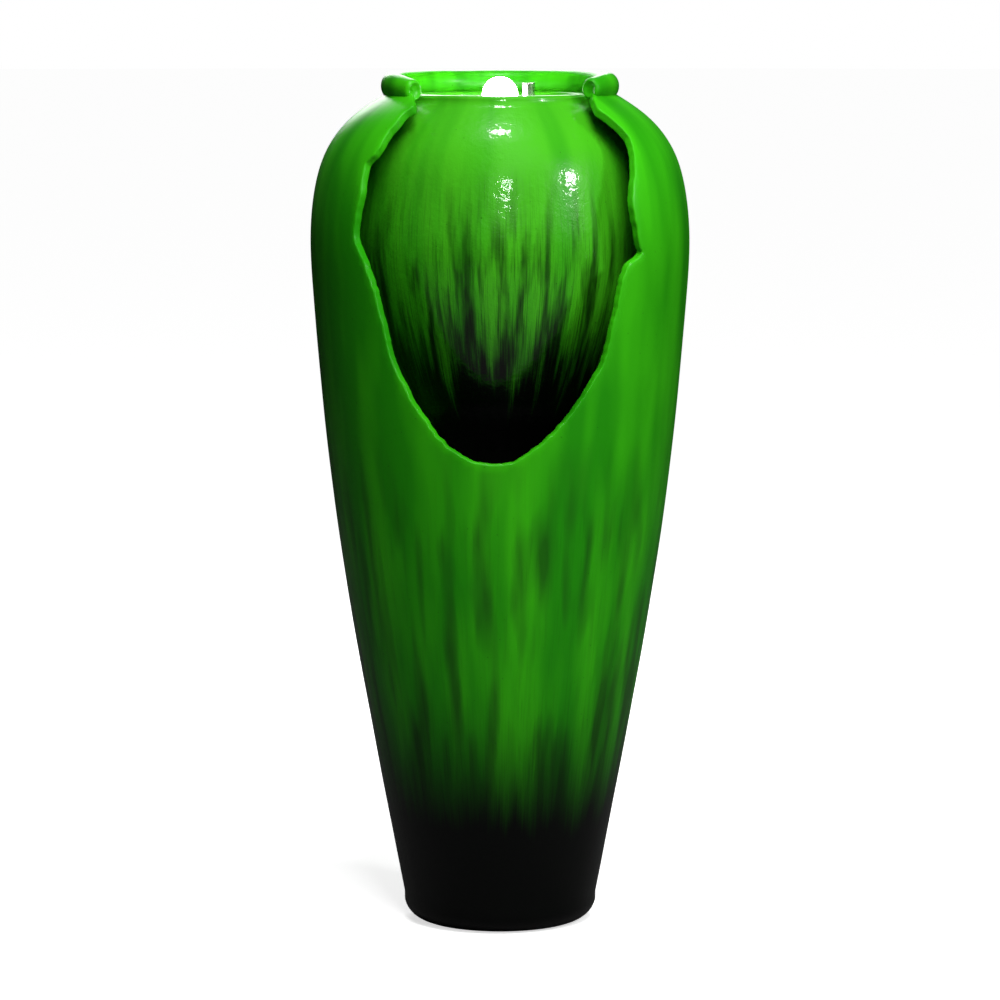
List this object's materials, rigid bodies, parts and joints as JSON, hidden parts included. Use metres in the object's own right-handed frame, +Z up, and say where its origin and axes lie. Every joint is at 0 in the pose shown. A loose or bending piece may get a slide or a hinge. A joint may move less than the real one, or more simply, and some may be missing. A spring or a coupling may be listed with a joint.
{
  "type": "garden water fountain",
  "caption": "Tall glazed urn with a broken-open shoulder; water wells up in a lit pool, slides down an inner jar and drains to a pump inside.",
  "frame": {"origin": "centre of the urn's foot, on the floor", "axes": "+Z up along the urn's axis; the broken-open front faces -Y; +X is right seen from the front"},
  "size_m": [0.375, 0.3587, 0.845],
  "materials": {
    "green_glaze": "glossy",
    "shelf_polymer": "satin",
    "black_rubber": "matt",
    "brass": "satin",
    "steel": "brushed",
    "lens_glass": "clear",
    "circuit_board": "satin",
    "led_emitter": "emissive",
    "pump_black": "moulded",
    "magnet": "ground",
    "bush_ceramic": "ground",
    "core_iron": "laminated",
    "coil_copper": "enamelled wire",
    "sponge_foam": "open-cell foam",
    "clear_hose": "clear PVC",
    "lead_jacket": "matt PVC"
  },
  "bodies": {
    "urn": {"cable_grommet": "black_rubber", "drain_bush": "brass", "drain_nut": "brass", "hatch_frame": "shelf_polymer", "hatch_inserts": "brass", "hose_clips": "steel", "hose_grommet": "black_rubber", "inner_jar": "green_glaze", "jar_support_shelf": "shelf_polymer", "junction_box": "pump_black", "junction_bracket": "shelf_polymer", "junction_glands": "pump_black", "junction_lid": "pump_black", "junction_screws": "steel", "junction_seal": "black_rubber", "lamp_base_seal": "black_rubber", "lamp_bezel": "steel", "lamp_board": "circuit_board", "lamp_housing": "steel", "lamp_lead": "lead_jacket", "lamp_lead_grommet": "black_rubber", "lamp_leds": "led_emitter", "lamp_lens": "lens_glass", "lamp_lens_seal": "black_rubber", "outer_urn": "green_glaze", "outlet_nozzle": "brass", "outlet_washer": "black_rubber", "pool_tray": "shelf_polymer", "pump_body": "pump_black", "pump_end_cap": "pump_black", "pump_lead": "lead_jacket", "pump_strain_relief": "black_rubber", "riser_hose": "clear_hose", "rotor_shaft": "steel", "shaft_bushes": "bush_ceramic", "shelf_brackets": "shelf_polymer", "stator_coils": "coil_copper", "stator_core": "core_iron", "suction_cups": "black_rubber", "terminal_block": "pump_black", "tray_nuts": "brass", "tray_seal_ring": "black_rubber", "volute_cover": "pump_black", "volute_seal": "black_rubber"},
    "pump_rotor": {"rotor_magnet": "magnet", "impeller": "pump_black"},
    "flow_dial": {"flow_dial": "pump_black"},
    "strainer": {"strainer_cover": "pump_black", "strainer_sponge": "sponge_foam"},
    "hatch": {"hatch_cover": "green_glaze", "hatch_gasket": "black_rubber", "screw_seals": "black_rubber"},
    "thumbscrew_1": {"hatch_thumbscrew_1": "steel"},
    "thumbscrew_2": {"hatch_thumbscrew_2": "steel"},
    "thumbscrew_3": {"hatch_thumbscrew_3": "steel"},
    "thumbscrew_4": {"hatch_thumbscrew_4": "steel"},
    "drain_plug": {"drain_plug": "brass", "drain_plug_seal": "black_rubber"}
  },
  "joints": [
    {"name": "pump_spin", "type": "hinge", "parent": "urn", "child": "pump_rotor", "pos_m": [0.018, 0, 0.047], "axis": [0, 1, 0], "continuous": true},
    {"name": "flow_dial_turn", "type": "hinge", "parent": "urn", "child": "flow_dial", "pos_m": [0.018, 0, 0.047], "axis": [0, 1, 0], "range_deg": [0, 120]},
    {"name": "strainer_pull", "type": "slide", "parent": "urn", "child": "strainer", "axis": [0, -1, 0], "range_m": [0, 0.03]},
    {"name": "hatch_lift_off", "type": "slide", "parent": "urn", "child": "hatch", "axis": [0, 1, 0], "range_m": [0, 0.12]},
    {"name": "thumbscrew_1_turn", "type": "hinge", "parent": "hatch", "child": "thumbscrew_1", "pos_m": [-0.047, 0.14876, 0.35889], "axis": [0, 1, 0], "continuous": true},
    {"name": "thumbscrew_2_turn", "type": "hinge", "parent": "hatch", "child": "thumbscrew_2", "pos_m": [0.047, 0.14876, 0.35889], "axis": [0, 1, 0], "continuous": true},
    {"name": "thumbscrew_3_turn", "type": "hinge", "parent": "hatch", "child": "thumbscrew_3", "pos_m": [-0.047, 0.1307, 0.25489], "axis": [0, 1, 0], "continuous": true},
    {"name": "thumbscrew_4_turn", "type": "hinge", "parent": "hatch", "child": "thumbscrew_4", "pos_m": [0.047, 0.1307, 0.25489], "axis": [0, 1, 0], "continuous": true},
    {"name": "drain_plug_pull", "type": "slide", "parent": "urn", "child": "drain_plug", "axis": [0, 1, 0], "range_m": [0, 0.03]}
  ]
}
